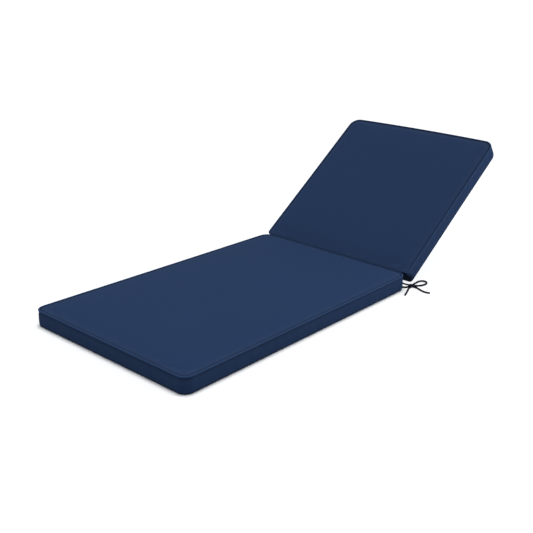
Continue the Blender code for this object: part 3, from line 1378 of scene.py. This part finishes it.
@dataclass(frozen=True)
class Studio:
    """A pale floor under bright light from above, with softboxes at the right and at the foot."""

    floor_side: float = 80.0
    floor_colour: Colour = (0.645, 0.645, 0.645)
    sky: float = 0.50
    sky_colour: Colour = (0.99, 1.0, 1.02)
    lamps: tuple[Lamp, ...] = (
        Lamp(
            "overhead", LampKind.BROAD_SKYLIGHT, (-0.15, 0.28, 4.0), (0.0, 0.0, 0.0), math.radians(24.0), 3.6,
            near_floor_only=True,
        ),
        Lamp(
            "right_side", LampKind.SOFTBOX, (2.3, 1.9, 0.8), (0.35, 0.3, 0.0), 1.2, 43.0,
            colour=(0.90, 1.0, 1.12),
        ),
        Lamp(
            "foot_fill", LampKind.SOFTBOX, (-0.9, -2.9, 0.8), (-0.1, -0.85, 0.03), 1.5, 7.5,
            colour=(0.60, 0.95, 1.30),
        ),
    )

    def build(self, low_pieces: Sequence[bpy.types.Object]) -> None:
        """Lay the floor and hang the lights.

        Args:
            low_pieces: the pieces that lie on the floor.
        """
        form = bmesh.new()
        bmesh.ops.create_grid(form, x_segments=1, y_segments=1, size=0.5 * self.floor_side)
        mesh = bpy.data.meshes.new("studio_floor")
        form.to_mesh(mesh)
        form.free()
        mesh.materials.append(PlainFinish("floor_white", self.floor_colour, 0.9).make())
        add_object("studio_floor", mesh)
        world = bpy.data.worlds.new("studio_sky")
        world.use_nodes = True
        sky = world.node_tree.nodes["Background"]
        sky.inputs["Color"].default_value = (*self.sky_colour, 1.0)
        sky.inputs["Strength"].default_value = self.sky
        bpy.context.scene.world = world
        bpy.context.scene.view_settings.view_transform = "Standard"
        for lamp in self.lamps:
            lamp.build(low_pieces)


@dataclass
class SunLoungerCushion:
    """The whole cushion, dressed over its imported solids."""

    sizes: CushionSizes = field(default_factory=CushionSizes)
    pieces: list[bpy.types.Object] = field(default_factory=list)

    def attach(self, piece: bpy.types.Object, slot: str, *nodes: str) -> bpy.types.Object:
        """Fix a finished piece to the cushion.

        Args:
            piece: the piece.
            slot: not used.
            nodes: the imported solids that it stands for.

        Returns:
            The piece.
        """
        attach(piece, "root")
        if nodes:
            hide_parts(*nodes)
        self.pieces.append(piece)
        log.info("%s: %d faces", piece.name, len(piece.data.polygons))
        return piece

    def on_the_floor(self) -> list[bpy.types.Object]:
        """Return the pieces of the seat pad and the tie."""
        return [piece for piece in self.pieces if piece.name.startswith(("seat_", "tie_"))]

    def build_tie(self, tree: GeometryDesk) -> None:
        """Args:
            tree: the tube tree.
        """
        tie = Tie(self.sizes)
        cloth = TubeCloth("tie_cord", CORD_NAVY, tie.strands, tie.lay, 0.0002).make()
        knot = self.attach(tie.knot(tree, cloth), "tie", "tie_knot")
        right, right_path = tie.cord("tie_right_cord", tie.right_route, tree, cloth)
        self.attach(right, "tie", "tie_upper_strand", "tie_right_end")
        bow, bow_path = tie.cord("tie_bow_cord", tie.bow_route, tree, cloth)
        self.attach(bow, "tie", "tie_lower_strand", "tie_bow_loop", "tie_left_end")
        for cord, path, ends_with in ((right, right_path, [knot]), (bow, bow_path, [])):
            tuple(path[0])
            route_length(path)
            [tuple(spot) for spot in path]
            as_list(ends_with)

    def build_pads(self, tree: GeometryDesk) -> None:
        """Build both pads with their piping.

        Args:
            tree: the tube tree.
        """
        sizes = self.sizes
        crease = (sizes.crease.y, sizes.crease.z)
        cloth = WovenCloth("cover_cloth", COVER_NAVY, crease).make()
        welt = TubeCloth("piping_cloth", PIPING_NAVY_PAINTED_HIGHLIGHT, 14, 0.020, 0.00008, contrast=0.20, crease=crease).make()
        pads = (
            Pad("seat_cover", sizes, sizes.seat_form, sizes.seat_place),
            Pad("back_cover", sizes, sizes.back_form, sizes.back_place),
        )
        for pad in pads:
            node = pad.name.replace("cover", "pad")
            cover = self.attach(pad.cover(cloth), "cover", node)
            piping = pad.piping(tree, welt)
            self.attach(piping, "piping", node.replace("pad", "piping"))

    def build_hinge(self, nodes: dict[str, bpy.types.Object]) -> None:
        """Dress the hinge tape and sew it.

        Args:
            nodes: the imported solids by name.
        """
        tape = nodes["hinge_tape"]
        tape.data.materials.clear()
        tape.data.materials.append(PlainFinish("hinge_cloth", TAPE_NAVY, 0.88, 0.35).make())
        thread = PlainFinish("sewing_thread", THREAD_NAVY, 0.7, 0.2).make()
        stitches = Hinge(self.sizes).stitches(stitch_tree(), thread)
        self.attach(stitches, "hinge")

    def build(self, nodes: dict[str, bpy.types.Object]) -> None:
        """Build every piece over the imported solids.

        Args:
            nodes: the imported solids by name.
        """
        tree = tube_tree()
        self.build_tie(tree)
        self.build_pads(tree)
        self.build_hinge(nodes)


def main() -> None:
    """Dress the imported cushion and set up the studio."""
    logging.basicConfig(level=logging.INFO, format="%(name)s: %(message)s")
    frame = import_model()
    PhotoCamera().build()
    cushion = SunLoungerCushion()
    cushion.build(frame["nodes"])
    Studio().build(cushion.on_the_floor())


if __name__ == "__main__":
    main()
